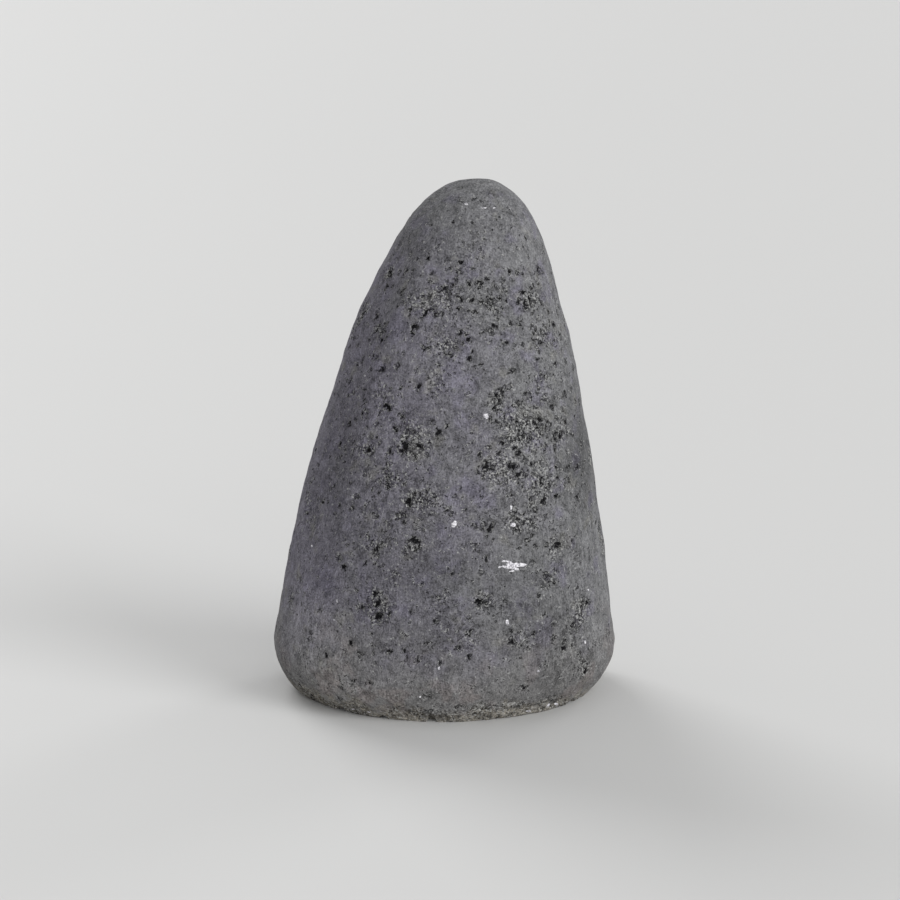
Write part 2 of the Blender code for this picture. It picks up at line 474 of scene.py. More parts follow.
def pitted_coat():
    """The deep grey, matt, pitted skin of the stone: cement grey, brushed up and down, with
    painted shade in its pits and cracks and painted highlights and glints about them.
    """
    coat = Finish("pitted_coat")
    pit = coat.attribute("pit")
    across = coat.axis("X")
    up = coat.axis("Z")
    brushed = coat.stretched((1, 1, 0.15))

    broad = coat.cloud(24 * MM, detail=2)
    mottle = coat.cloud(4.5 * MM, detail=4, rough=0.6)
    lumps = coat.cloud(1.7 * MM, detail=2, rough=0.5)
    grain = coat.cloud(0.62 * MM, detail=2, rough=0.6)
    streak = coat.cloud(1.5 * MM, detail=1, vector=brushed, warp=0.6)
    hairs = coat.crossing(streak, 0.5, 0.05)
    curl = coat.cloud(2.6 * MM, detail=1.5, warp=1.0)
    ragged = coat.cloud(1.6 * MM, detail=4, rough=0.72, warp=0.5)
    fine = coat.cloud(0.9 * MM, detail=3, rough=0.65, warp=0.3)

    # Where the coat is crusted, worn, pitted, cracked or smudged, from 0 to 1.
    foot = coat.ramp(up + (mottle - 0.5) * 0.018 + (broad - 0.5) * 0.016, 0.0075, 0.0012)
    rough = coat.attribute("rough") + foot * 0.55
    crowd = (coat.cloud(9 * MM, detail=2) - 0.5) * 0.20
    busy = coat.ramp(rough + pit * 0.7, 0.10, 0.80)
    broken = coat.ramp(fine, 0.48, 0.53)
    well = pit + (lumps - 0.5) * 1.7 + (fine - 0.5) * 0.7
    hollows = coat.ramp(ragged + rough * 0.080 + crowd, 0.660, 0.695)
    pinholes = coat.ramp(fine + rough * 0.085 + crowd, 0.655, 0.705)
    ringed = coat.ramp(mottle, 0.50, 0.57)
    cores = coat.ramp(pit + (lumps - 0.5) * 0.9 + (fine - 0.5) * 1.0, 0.62, 0.76)
    cores = cores * (1 - ringed * 0.75)
    wrinkle = curl + rough * 0.05 + crowd * 0.6
    cracks = coat.crossing(wrinkle, 0.585, 0.035) * broken * (0.25 + busy * 0.75)
    rims = coat.crossing(well, 0.45, 0.13) * (1 - (1 - broken) * (1 - ringed * 0.75))
    # Painted shade: pits, holes, pinholes, cracks and pit rims made near black as if in shadow.
    pit_shade = (1 - cores) * (1 - hollows * 0.70) * (1 - pinholes * 0.8)
    pit_shade = 1 - pit_shade * (1 - cracks * 0.9) * (1 - rims * 0.9)
    # Painted highlights on the raised rims of pits and cracks, which the bump also lifts a
    # little.
    lit_lips = coat.crossing(well, 0.28, 0.14) + coat.crossing(wrinkle, 0.650, 0.055) * busy
    lit_lips = lit_lips * coat.ramp(fine, 0.50, 0.46)
    smudges = coat.cloud(3.0 * MM, detail=4, rough=0.66, warp=0.3) + rough * 0.11 + pit * 0.12
    smudges = coat.ramp(smudges + crowd, 0.54, 0.70)
    # Pale specks, partly real grains and partly painted glints.
    flecks_and_glints = coat.ramp(coat.cloud(0.8 * MM, detail=2, rough=0.6) + busy * 0.085, 0.62, 0.67)

    # The stone's own colours, cooler to one side and earthy near the foot.
    soil = coat.ramp(up + (broad - 0.5) * 0.030, 0.046, 0.004)
    violet = coat.ramp(across + (broad - 0.5) * 0.12, -0.045, 0.045) * (1 - soil)
    violet = violet * coat.ramp(up, 0.190, 0.150)
    stone = coat.blend(violet, CEMENT, VIOLET_CEMENT)
    stone = coat.blend(soil * 0.6, stone, SOIL)
    ruddy = coat.ramp(coat.cloud(11 * MM, detail=3), 0.50, 0.62) * soil
    stone = coat.blend(ruddy * 0.35, stone, RUDDY_SOIL)
    blotch = coat.ramp(coat.cloud(10 * MM, detail=3), 0.53, 0.68)
    stone = coat.blend(blotch * (1 - soil) * 0.6, stone, MAUVE)
    dusty = coat.ramp(coat.cloud(7 * MM, detail=3) + rough * 0.10, 0.58, 0.74)
    stone = coat.blend(dusty * 0.5, stone, DUST)
    stone = coat.blend(foot * 0.75, stone, CRUST)

    # Paler and deeper tones in the coat, with painted shade and painted light among its stains,
    # then pale specks that are partly painted glints, painted highlights on pit and crack rims,
    # crumbs at the foot, and painted shade in pits and cracks.
    tone = 1.17 + (grain - 0.5) * 2.0 + (hairs - 0.5) * 0.35 + (mottle - 0.5) * 1.6
    tone = tone + (lumps - 0.5) * (0.4 + busy * 1.6)
    # Darker and paler areas: real stains, painted shade on shaded parts and in one crater, and
    # painted bounce light near the foot.
    tone = tone * (1 + coat.attribute("stain_and_shade")) * (1 - smudges * (0.30 + busy * 0.25))
    stone = coat.blend(1.0, stone, coat.grey(tone), "MULTIPLY")
    stone = coat.blend(flecks_and_glints * (0.20 + busy * 0.65), stone, FLECK_AND_GLINT)
    stone = coat.blend(lit_lips * 0.80, stone, LIP_HIGHLIGHT)
    crumbs = coat.ramp(coat.cloud(1.1 * MM, detail=2), 0.58, 0.68) * foot
    stone = coat.blend(crumbs * 0.8, stone, CRUMB)
    # Painted shade in pits, holes and cracks, laid over all the rest.
    stone = coat.blend(pit_shade * 0.97, stone, PAINTED_PIT_SHADE)
    coat.set(Base_Color=stone, Roughness=0.9, Specular_IOR_Level=0.12)

    relief = (grain - 0.5) * 0.12 + (mottle - 0.5) * 0.40 + hairs * 0.03
    relief = relief + (lumps - 0.5) * (0.15 + busy * 0.8) + flecks_and_glints * 0.08
    relief = relief - smudges * 0.25 - hollows * 0.4 - pinholes * 0.2 - cracks * 0.2
    relief = relief - coat.ramp(well, 0.30, 0.70) * 0.6 + lit_lips * 0.12
    coat.set(Normal=coat.bump(relief, 1.0 * MM))
    return coat.material


def sawn_rock():
    """The sawn face of the rock, round the mouth and underneath."""
    rock = Finish("sawn_rock")
    edge = rock.attribute("edge")
    speck = rock.cloud(0.8 * MM, detail=3, rough=0.65)
    patch = rock.cloud(8 * MM, detail=4)
    saw = rock.cloud(1.4 * MM, detail=2, vector=rock.stretched((0.06, 1, 1)))
    tone = rock.blend(rock.ramp(patch, 0.35, 0.65), DARK_ROCK, PALE_ROCK)
    tone = rock.blend(rock.ramp(speck, 0.55, 0.66) * 0.6, tone, ROCK_SPECK)
    tone = rock.blend(rock.ramp(speck, 0.42, 0.34) * 0.8, tone, ROCK_SHADE)
    rust = rock.ramp(rock.cloud(15 * MM, detail=4, rough=0.6), 0.55, 0.70)
    tone = rock.blend(rust * 0.5, tone, ROCK_RUST)
    veins = rock.crossing(rock.cloud(22 * MM, detail=3, warp=0.8), 0.5, 0.006)
    tone = rock.blend(veins * 0.5, tone, ROCK_VEIN)
    drops = rock.cells(6.5 * MM, vector=rock.warped(1.6 * MM, 2.2 * MM))
    drops = drops + (rock.cloud(11 * MM, detail=1) - 0.5) * 0.30
    tone = rock.blend(rock.ramp(drops, 0.115, 0.085), tone, DROP_RING)
    tone = rock.blend(rock.ramp(drops, 0.085, 0.060), tone, DROP_HEART)
    worn = rock.ramp(edge + (speck - 0.5) * 0.6, 0.35, 0.75)
    tone = rock.blend(worn, tone, ROCK_WORN)
    gloss = 0.27 + worn * 0.55 + (speck - 0.5) * 0.25
    rock.set(Base_Color=tone, Roughness=gloss, Specular_IOR_Level=0.45)
    rock.set(Normal=rock.bump(speck * 0.05 + saw * 0.03 + worn * speck * 0.4, 1.0 * MM))
    return rock.material


def banded_agate():
    """The sawn edge of the crystal bed: agate bands outside, then milky quartz."""
    agate = Finish("banded_agate")
    across = agate.attribute("across")
    sway = (agate.cloud(8 * MM, detail=3) - 0.5) * 0.34
    fold = (agate.cloud(2.2 * MM, detail=3) - 0.5) * 0.07
    depth = across + sway + fold
    bands = agate.node(
        "ShaderNodeValToRGB", "Color", {"stops": AGATE_BANDS}, {"Fac": depth}
    )
    grown = agate.warped(0.9 * MM, 2.0 * MM)
    teeth = agate.cells(4.2 * MM, vector=grown, metric="MANHATTAN")
    ripening = agate.ramp(across + sway * 0.6 - teeth * 0.42, 0.30, 0.62)
    bands = agate.blend(ripening, bands, RIPE_VIOLET)
    veils = agate.ramp(agate.cloud(1.3 * MM, detail=3, rough=0.65), 0.54, 0.68)
    bands = agate.blend(veils * (0.15 + ripening * 0.3), bands, VEIL)
    agate.set(Base_Color=bands, Roughness=0.12)
    return agate.material


def amethyst():
    """Clear violet quartz, deeper in colour towards the tips."""
    gem = Finish("amethyst")
    tip = gem.attribute("tip")
    shade = gem.attribute("shade") * 0.75 + gem.cloud(9 * MM, detail=2) * 0.25
    deep = gem.blend(shade, DEEP_VIOLET, BRIGHT_VIOLET)
    tone = gem.blend(gem.ramp(tip, 0.05, 0.75), PALE_VIOLET, deep)
    gem.set(Base_Color=tone, Roughness=0.05, IOR=1.544, Transmission_Weight=0.55)
    return gem.material


def milky_quartz():
    """The pale ground that the points stand on."""
    quartz = Finish("milky_quartz")
    cloud = quartz.cloud(3 * MM, detail=3)
    tone = quartz.blend(cloud, DARK_GROUND, PALE_GROUND)
    quartz.set(Base_Color=tone, Roughness=0.25)
    quartz.set(Normal=quartz.bump(quartz.cells(1.8 * MM), 0.5 * MM))
    return quartz.material


def chalky_quartz():
    """The white flakes caught in the coat."""
    flake = Finish("chalky_quartz")
    speck = flake.cloud(0.6 * MM, detail=2)
    tone = flake.blend(flake.ramp(speck, 0.40, 0.58), DULL_CHALK, CHALK)
    flake.set(Base_Color=tone, Roughness=0.45)
    flake.set(Normal=flake.bump(speck, 0.2 * MM))
    return flake.material


# ---------------------------------------------------------------- the stone

# Pits, as pixels across and down in the camera's picture, with a radius in millimetres.
SEEN_PITS = [
    (400, 292, 1.1), (423, 298, 1.0), (445, 289, 1.7), (455, 279, 0.8), (480, 283, 1.2),
    (461, 299, 1.1), (457, 296, 0.8), (472, 300, 1.0), (433, 308, 1.0), (428, 310, 0.8),
    (410, 309, 0.9), (445, 306, 0.8), (491, 301, 1.2), (459, 309, 0.7), (460, 262, 0.9),
    (521, 301, 0.9), (536, 302, 1.2), (527, 291, 0.8), (494, 325, 1.0), (488, 330, 0.7),
    (468, 339, 1.0), (466, 334, 0.8), (414, 326, 1.2), (412, 333, 0.8), (371, 329, 0.9),
    (380, 331, 0.8), (380, 340, 0.8), (449, 354, 1.0), (428, 348, 0.8), (472, 351, 0.8),
    (480, 364, 0.8), (545, 330, 0.8), (524, 344, 0.7), (528, 237, 0.9), (428, 258, 0.9),
    (453, 222, 0.5), (465, 210, 0.5), (431, 225, 0.5), (387, 407, 1.2), (367, 450, 1.5),
    (389, 451, 1.0), (362, 413, 0.7), (346, 424, 1.0), (400, 388, 0.7), (419, 386, 1.0),
    (433, 422, 1.0), (427, 455, 0.7), (425, 493, 1.1), (408, 502, 1.3), (387, 484, 1.1),
    (342, 462, 0.7), (412, 540, 1.1), (378, 556, 1.0), (347, 545, 0.7), (496, 395, 0.9),
    (494, 408, 0.8), (536, 424, 1.0), (509, 442, 0.8), (503, 443, 0.8), (479, 455, 1.0),
    (486, 468, 1.6), (514, 467, 1.0), (518, 475, 0.9), (518, 483, 0.8), (525, 460, 0.8),
    (531, 464, 0.7), (565, 422, 0.9), (560, 437, 0.8), (555, 449, 0.9), (557, 496, 1.0),
    (544, 501, 1.1), (464, 510, 0.7), (474, 526, 0.8), (489, 530, 1.0), (532, 536, 0.8),
    (559, 545, 1.1), (548, 545, 0.8), (481, 572, 0.9), (479, 602, 1.5), (378, 616, 1.5),
    (377, 604, 1.2), (362, 607, 0.9), (396, 574, 0.9), (410, 612, 0.5), (409, 622, 0.5),
    (435, 621, 0.7), (470, 632, 0.9), (458, 647, 1.0), (469, 658, 1.1), (513, 642, 1.2),
    (534, 634, 1.0), (554, 638, 0.9), (564, 648, 0.8), (588, 603, 1.2), (573, 626, 1.1),
    (310, 632, 0.9), (325, 655, 1.0), (349, 644, 0.9), (404, 651, 0.9), (426, 644, 0.7),
    (439, 663, 0.7), (370, 683, 0.8), (353, 681, 0.7), (586, 672, 1.3), (545, 663, 0.9),
]
# Worn patches full of fine pits: across, down, half width, half height, strength.
WORN_PATCHES = [
    (430, 300, 34, 15, 0.70), (405, 270, 12, 20, 0.45), (492, 303, 11, 9, 0.80),
    (532, 299, 16, 13, 0.80), (470, 270, 20, 14, 0.35), (447, 345, 20, 14, 0.70),
    (500, 335, 16, 12, 0.40), (545, 330, 14, 20, 0.60), (520, 268, 22, 8, 0.35),
    (375, 330, 12, 10, 0.60), (385, 400, 16, 20, 0.55), (350, 395, 10, 16, 0.40),
    (435, 385, 10, 28, 0.55), (365, 450, 14, 16, 0.60), (414, 440, 22, 24, 0.85),
    (395, 480, 18, 14, 0.65), (420, 500, 26, 16, 0.80), (340, 480, 10, 10, 0.30),
    (378, 545, 18, 12, 0.60), (415, 545, 16, 10, 0.75), (345, 560, 14, 10, 0.35),
    (396, 574, 12, 10, 0.55), (378, 609, 16, 18, 0.95), (496, 402, 9, 16, 0.90),
    (522, 430, 28, 26, 1.00), (502, 470, 22, 20, 1.00), (540, 480, 20, 26, 0.90),
    (520, 522, 28, 14, 0.80), (556, 545, 14, 12, 0.80), (560, 430, 10, 24, 0.60),
    (545, 380, 20, 16, 0.50), (438, 600, 9, 10, 0.70), (484, 602, 14, 9, 0.90),
    (470, 640, 14, 16, 0.50), (580, 612, 12, 20, 0.85), (548, 580, 16, 10, 0.60),
    (520, 640, 20, 14, 0.60), (584, 668, 10, 14, 0.80), (330, 660, 12, 10, 0.40),
    (355, 688, 14, 8, 0.50), (500, 706, 50, 6, 0.70), (440, 712, 50, 5, 0.60),
    (550, 700, 16, 6, 0.80), (385, 440, 66, 62, 0.32), (395, 520, 60, 44, 0.34),
    (520, 455, 54, 76, 0.42), (462, 305, 92, 34, 0.36), (350, 610, 46, 56, 0.26),
    (572, 640, 24, 46, 0.42), (480, 625, 80, 40, 0.16),
]
# White flakes: across, down, half width and half height in millimetres.
FLAKES = [
    (513, 566, 2.7, 1.20), (519, 565, 2.9, 0.65), (507, 567, 1.9, 0.55), (504, 561, 0.9, 0.35),
    (509, 562, 1.1, 0.40), (512, 571, 1.0, 0.30), (500, 567, 0.8, 0.35), (516, 569, 1.1, 0.45),
    (510, 565, 1.5, 0.95), (486, 416, 0.9, 0.9), (454, 524, 0.9, 1.1), (511, 508, 0.5, 1.2),
    (513, 525, 1.0, 0.7), (507, 622, 0.7, 0.8), (337, 601, 0.3, 0.6), (334, 620, 0.3, 0.3),
    (439, 668, 0.4, 0.6), (466, 204, 0.6, 0.4), (484, 208, 1.0, 0.25), (494, 208, 0.5, 0.3),
    (365, 376, 0.4, 0.3), (312, 546, 0.4, 0.4), (369, 712, 0.8, 0.3), (353, 709, 0.6, 0.25),
    (538, 671, 0.6, 0.35), (588, 590, 0.4, 0.4), (585, 642, 0.4, 0.7), (528, 711, 1.0, 0.35),
    (548, 705, 1.3, 0.5), (556, 704, 0.7, 0.4), (420, 697, 0.3, 0.4),
]
# Darker and paler areas of the coat, partly real stains and partly painted shade and painted
# bounce light: across, down, half width, half height, gain.
STAINS_AND_SHADE = [
    (425, 232, 38, 44, -0.10), (385, 320, 26, 44, -0.10), (342, 440, 22, 66, -0.20),
    (400, 530, 44, 44, -0.18), (415, 455, 26, 36, -0.10), (440, 575, 62, 32, -0.28),
    (540, 560, 46, 40, -0.14), (545, 630, 56, 40, -0.28), (578, 455, 18, 62, -0.47),
    (555, 682, 50, 26, -0.18), (515, 440, 34, 44, 0.06), (430, 640, 50, 26, -0.23),
    (308, 630, 34, 50, 0.60), (350, 690, 44, 18, 0.46), (440, 704, 60, 12, 0.05),
    (447, 343, 11, 8, -0.30),
]
# Broad dents, and swells where the depth is negative: across, down, radius and depth in mm.
DENTS = [
    (447, 346, 3.9, 1.3), (546, 300, 26.0, 2.2), (584, 460, 17.0, -1.5), (500, 212, 9.0, 0.4),
    (385, 268, 17.0, 0.8), (404, 425, 12.0, 0.5), (530, 590, 14.0, 0.4),
]
PATCH_DEPTH = 18 * MM

# Wear that lies about the stone outside the placed patches, and less of it on the back.
STRAY_WEAR = 0.9
WEAR_SIZE = 17 * MM
BACK_CALM = 0.65

# Swells of the skin: height and size in millimetres, and where in the noise they are taken.
SWELLS = [(0.45, 19, 2.0), (0.32, 8, 8.0), (0.19, 4, 4.0)]
# Heights of grit and depth of bites in millimetres, in sound and in worn skin.
SOUND_GRIT = 0.03
WORN_GRIT = 0.20
GRIT_SIZE = 2.0 * MM
WORN_BITE = 0.55
BITE_SIZE = 3.2 * MM
FOOT_CHIP = 2.8 * MM
FOOT_CHIP_SIZE = 6 * MM
FOOT_CHIP_HEIGHT = 6 * MM

# Scattered pits: radii in millimetres, with a few larger, and how deep they are pressed.
PIT_COUNT = 1700
PIT_RADII = (0.45, 0.85)
LARGE_PIT = 0.7
PIT_GAINS = (0.4, 0.95)
PIT_REACH = 1.9
PIT_DEPTH = 0.7
# How ragged their outlines are, and how far out their sides end and slope, in radii.
PIT_RAG = 0.85
PIT_RAG_SIZE = 1.3 * MM
FINE_RAG = 0.4
FINE_RAG_SIZE = 0.6 * MM
PIT_SPAN = 1.25
PIT_SLOPE = 0.7
# Chance of a pit in sound skin, and the heights between which pits crowd.
SOUND_CHANCE = 0.09
CROWD_FROM = 0.055
CROWD_TO = 0.160
THINNED = 0.5
SHALLOWER = 0.6

# The sawn face, its fine strip along the edge, and the edge's wear.
CROWDED = 0.3 * MM
STRIP_MERGE = 0.12 * MM
EDGE_ROWS = 7
EDGE_STEP = 0.55 * MM
HEART_LOW = 0.038
HEART_HIGH = 0.150
EDGE_WEAR = 1.3 * MM
EDGE_FADE = 4 * MM
CHIP_SWING = 1.7
CHIP_SIZE = 4 * MM
LEAST_CHIP = 0.35
MOST_CHIP = 2.4
BARED = 0.3
SOLE_NORMAL = -0.99
SOLE_HEIGHT = 0.1 * MM

FLAKE_THICKNESS = 0.28 * MM
FLAKE_RAGGEDNESS = 0.42
FLAKE_ROLL = 0.25


def camera_turn():
    facing_stone = Matrix.Rotation(math.pi, 3, "Z")
    return facing_stone @ Matrix.Rotation(math.pi / 2 - CAMERA_PITCH, 3, "X")


def seen(tree, across, down):
    """Place on the stone behind a pixel of the camera's picture, and its normal."""
    reach = LENS / SENSOR * PICTURE
    ray = Vector((across - PICTURE / 2, PICTURE / 2 - down, -reach))
    place, normal = tree.ray_cast(CAMERA_AT, (camera_turn() @ ray).normalized())[:2]
    return place, normal


def smooth_step(value):
    value = np.clip(value, 0, 1)
    return value * value * (3 - 2 * value)


def noise_at(points, size, shift=0.0):
    """Smooth noise from about -1 to 1 at each of many points."""
    return np.array([noise.noise(point) for point in map(Vector, points / size + shift)])


def ragged_at(points, size, shift=0.0):
    """Noise with finer noise on it, for ragged outlines."""
    places = map(Vector, points / size + shift)
    return np.array([noise.fractal(point, 0.7, 2.1, 3) for point in places])


def flank_cut(points):
    """How far the flat strip down the flank cuts in at each point."""
    heights = points[:, 2]
    widths = np.array([half_width_at(z) for z in heights])
    dual = np.array([squareness_at(z) / (squareness_at(z) - 1) for z in heights])
    across, along = math.cos(FLANK_AZIMUTH), math.sin(FLANK_AZIMUTH)
    reach = widths * (across ** dual + (DEPTH_SHARE * along) ** dual) ** (1 / dual)
    middle = np.array([AXIS.x - lean_at(z) for z in heights])
    out = (points[:, 0] - middle) * across + (points[:, 1] - AXIS.y) * along
    fade = smooth_step((heights - FLANK_FOOT) / FLANK_FADE)
    fade *= smooth_step((FLANK_TOP - heights) / FLANK_FADE)
    return np.maximum(out - reach + FLANK_DEPTH * fade, 0)


def around(points, tree, across, down, width, height):
    """1 at a place given in pixels, and falling off over an oval about it."""
    centre = np.array(seen(tree, across, down)[0])
    pixel = (CAMERA_AT.y - centre[1]) * SENSOR / LENS / PICTURE
    offset = (points - centre) / (width * pixel, PATCH_DEPTH, height * pixel)
    return np.exp(-(offset ** 2).sum(axis=1))


def worn_at(points, normals, tree):
    """How worn the coat is at each point: in the placed patches, and here and there."""
    away = 1 - BACK_CALM * smooth_step((normals[:, 1] - 0.1) / 0.5)
    worn = STRAY_WEAR * away * smooth_step((ragged_at(points, WEAR_SIZE, 5.0) - 0.12) / 0.6)
    for *oval, strength in WORN_PATCHES:
        worn = np.maximum(worn, strength * around(points, tree, *oval))
    return worn


def pit_centres(points, worn, tree):
    """Centres, radii and gains of all the pits: the placed ones, then scattered ones."""
    centres = []
    for across, down, radius in SEEN_PITS:
        centres.append((seen(tree, across, down)[0], radius * MM, 1.0))
    rng = random.Random(5)
    while len(centres) < PIT_COUNT:
        chosen = rng.randrange(len(points))
        radius = rng.uniform(*PIT_RADII) + LARGE_PIT * rng.random() ** 4
        height = points[chosen][2]
        share = 1 if CROWD_FROM <= height <= CROWD_TO else THINNED
        if rng.random() < (SOUND_CHANCE + worn[chosen]) * share:
            gain = rng.uniform(*PIT_GAINS) * (SHALLOWER if height > CROWD_TO else 1)
            centres.append((Vector(points[chosen]), radius * MM, gain))
    return centres


def press_pits(points, centres):
    """Depth of the pits, and how far each point lies inside one."""
    near = kdtree.KDTree(len(points))
    for index, point in enumerate(points):
        near.insert(point, index)
    near.balance()
    depth = np.zeros(len(points))
    inside = np.zeros(len(points))
    for centre, radius, gain in centres:
        for point, index, distance in near.find_range(centre, radius * PIT_REACH):
            ragged = 1 + PIT_RAG * noise.noise(point / PIT_RAG_SIZE)
            ragged += FINE_RAG * noise.noise(point / FINE_RAG_SIZE)
            within = gain * smooth_step((PIT_SPAN - distance * ragged / radius) / PIT_SLOPE)
            depth[index] = max(depth[index], PIT_DEPTH * radius * within)
            inside[index] = max(inside[index], within)
    return depth, inside


def relief_at(points, worn, tree):
    """Height of the skin's swells, grit, bites, chips and dents at each point."""
    relief = sum(height * noise_at(points, size * MM, shift) for height, size, shift in SWELLS)
    relief += (SOUND_GRIT + WORN_GRIT * worn) * noise_at(points, GRIT_SIZE, 3.0)
    bitten = smooth_step((ragged_at(points, BITE_SIZE, 6.0) - 0.25) / 0.35)
    relief -= WORN_BITE * worn * bitten
    relief *= MM
    chipped = smooth_step((ragged_at(points, FOOT_CHIP_SIZE, 9.0) - 0.05) / 0.5)
    relief -= FOOT_CHIP * chipped * smooth_step(1 - points[:, 2] / FOOT_CHIP_HEIGHT)
    for across, down, radius, deep in DENTS:
        distance = np.linalg.norm(points - np.array(seen(tree, across, down)[0]), axis=1)
        relief -= deep * MM * np.exp(-(distance / radius / MM) ** 3)
    return relief


def weather(bm, layers):
    """Presses wear and pits into the skin, and keeps on its verts the pit, the wear, and the
    stains with painted shade and light.
    """
    tree = BVHTree.FromBMesh(bm)
    verts = [vert for vert in bm.verts if vert.normal.z > SOLE_NORMAL]
    points = np.array([vert.co for vert in verts])
    normals = np.array([vert.normal for vert in verts])
    worn = worn_at(points, normals, tree)
    relief = relief_at(points, worn, tree)
    depth, inside = press_pits(points, pit_centres(points, worn, tree))
    moved = points + normals * (relief - depth - flank_cut(points))[:, None]
    # Darker and paler areas: real stains, with painted shade and painted bounce light among them.
    stain_and_shade = sum(gain * around(points, tree, *oval) for *oval, gain in STAINS_AND_SHADE)
    for vert, place, *values in zip(verts, moved, inside, worn, stain_and_shade):
        vert.co = place
        vert.co.z = max(vert.co.z, ON_AXIS)
        for layer, value in zip(layers, values):
            vert[layer] = value


def stone_skin():
    """The whole rock: pitted skin, flat foot, sawn rim and hollow. Returns its skin as a tree."""
    bm = turned(stone_profile(SKIN_RINGS), SKIN_SIDES, DEPTH_SHARE, DEPTH_SHARE, SKIN_SWELL)
    bmesh.ops.remove_doubles(bm, verts=bm.verts, dist=CROWDED)
    layers = [bm.verts.layers.float.new(name) for name in ("pit", "rough", "stain_and_shade")]
    edge_layer = bm.verts.layers.float.new("edge")
    coat_layer = bm.verts.layers.float.new("coat")
    bm.normal_update()
    weather(bm, layers)
    for vert in bm.verts:
        vert[coat_layer] = 1.0
    bm.normal_update()
    tree = BVHTree.FromBMesh(bm)
    append(bm, turned(hollow_profile(0, HOLLOW_RINGS), HOLLOW_SIDES, *hollow_form(0)), flip=True)
    saw_front(bm)
    strip = edge_strip(bm, coat_layer)
    open_edges = [edge for edge in bm.edges if edge.is_boundary]
    filled = bmesh.ops.triangle_fill(bm, use_beauty=True, edges=open_edges, normal=FRONT_FACING)
    sawn = [part for part in filled["geom"] if isinstance(part, bmesh.types.BMFace)]
    for face in sawn + strip_faces(strip):
        face.material_index = SAWN
    bmesh.ops.recalc_face_normals(bm, faces=bm.faces)
    wear_edge(bm, strip, coat_layer, edge_layer)
    for face in bm.faces:
        if face.normal.z < SOLE_NORMAL and face.calc_center_median().z < SOLE_HEIGHT:
            face.material_index = SAWN
    made = piece(bm, "stone_skin", [pitted_coat(), sawn_rock()], "stone_shell")
    made.data.set_sharp_from_angle(angle=SHARP_TURN)
    return tree


def edge_strip(bm, coat_layer):
    """Grows rows of small faces in from the outer edge of the sawn face.

    Returns each vert's place on the edge, direction out of the stone and row.
    """
    outline = [vert for vert in bm.verts if vert.is_boundary]
    bmesh.ops.remove_doubles(bm, verts=outline, dist=STRIP_MERGE)
    strip = {}
    for vert in bm.verts:
        if vert.is_boundary and vert[coat_layer] > 0.5:
            height = min(max(vert.co.z, HEART_LOW), HEART_HIGH)
            heart = Vector((AXIS.x - lean_at(height), vert.co.y, height))
            outward = vert.co - heart
            outward -= FRONT_FACING * outward.dot(FRONT_FACING)
            strip[vert] = (vert.co.copy().freeze(), outward.normalized(), 0)
    loop = [edge for edge in bm.edges if edge.is_boundary and edge.verts[0] in strip]
    for row in range(1, EDGE_ROWS + 1):
        below = {vert.co.copy().freeze(): strip[vert] for edge in loop for vert in edge.verts}
        made = bmesh.ops.extrude_edge_only(bm, edges=loop)["geom"]
        for vert in made:
            if isinstance(vert, bmesh.types.BMVert):
                place, outward, _ = below[vert.co.copy().freeze()]
                strip[vert] = (place, outward, row)
                vert.co -= outward * EDGE_STEP
        loop = [edge for edge in made if isinstance(edge, bmesh.types.BMEdge)]
    bmesh.ops.remove_doubles(bm, verts=list(strip), dist=STRIP_MERGE)
    return {vert: found for vert, found in strip.items() if vert.is_valid}


def strip_faces(strip):
    """The faces that join one row of the strip to the next."""
    return [
        face for vert, (_, _, row) in strip.items() if row
        for face in vert.link_faces if all(corner in strip for corner in face.verts)
    ]


def wear_edge(bm, strip, coat_layer, edge_layer):
    """Rounds and chips the edge between the skin and the sawn face."""
    columns = [column for column in strip.values() if column[2] == 0]
    near = kdtree.KDTree(len(columns))
    for index, (place, _, _) in enumerate(columns):
        near.insert(place, index)
    near.balance()
    moves = []
    for vert in bm.verts:
        behind = 0 if vert in strip else behind_front(vert.co)
        if behind > 3 * EDGE_WEAR or vert[coat_layer] < 0.5:
            continue
        place, outward, row = strip[vert] if vert in strip else columns[near.find(vert.co)[1]]
        chips = 1 + CHIP_SWING * noise.fractal(vert.co / CHIP_SIZE, 0.7, 2.1, 3)
        chips = min(max(chips, LEAST_CHIP), MOST_CHIP)
        radius = EDGE_WEAR * chips * smooth_step(place.z / EDGE_FADE)
        corner = Vector((max(radius - row * EDGE_STEP, 0), max(radius - behind, 0)))
        if corner.x > 0 and corner.y > 0 and corner.length > radius:
            spare = corner * (1 - radius / corner.length)
            vert[edge_layer] = min(spare.length / (BARED * radius), 1)
            moves.append((vert, outward * spare.x + FRONT_FACING * spare.y))
    for vert, move in moves:
        vert.co -= move


def quartz_flakes(tree):
    """White flakes caught in the coat, each a flat ragged bead pressed into the skin."""
    bm = bmesh.new()
    rng = random.Random(9)
    for across, down, half_width, half_height in FLAKES:
        place, normal = seen(tree, across, down)
        bead = bmesh.new()
        bmesh.ops.create_icosphere(bead, subdivisions=3, radius=1)
        for vert in bead.verts:
            ragged = noise.fractal(vert.co * 1.5 + place / MM, 0.6, 2.1, 3)
            vert.co *= 1 + FLAKE_RAGGEDNESS * ragged
        size = Matrix.Diagonal((half_width * MM, half_height * MM, FLAKE_THICKNESS)).to_4x4()
        turn = normal.to_track_quat("Z", "Y").to_matrix().to_4x4()
        roll = Matrix.Rotation(rng.uniform(-FLAKE_ROLL, FLAKE_ROLL), 4, "Z")
        shape = Matrix.Translation(place) @ turn @ roll @ size
        bmesh.ops.transform(bead, verts=bead.verts, matrix=shape)
        append(bm, bead)
    piece(bm, "quartz_flakes", [chalky_quartz()], None)


# ---------------------------------------------------------------- the crystals

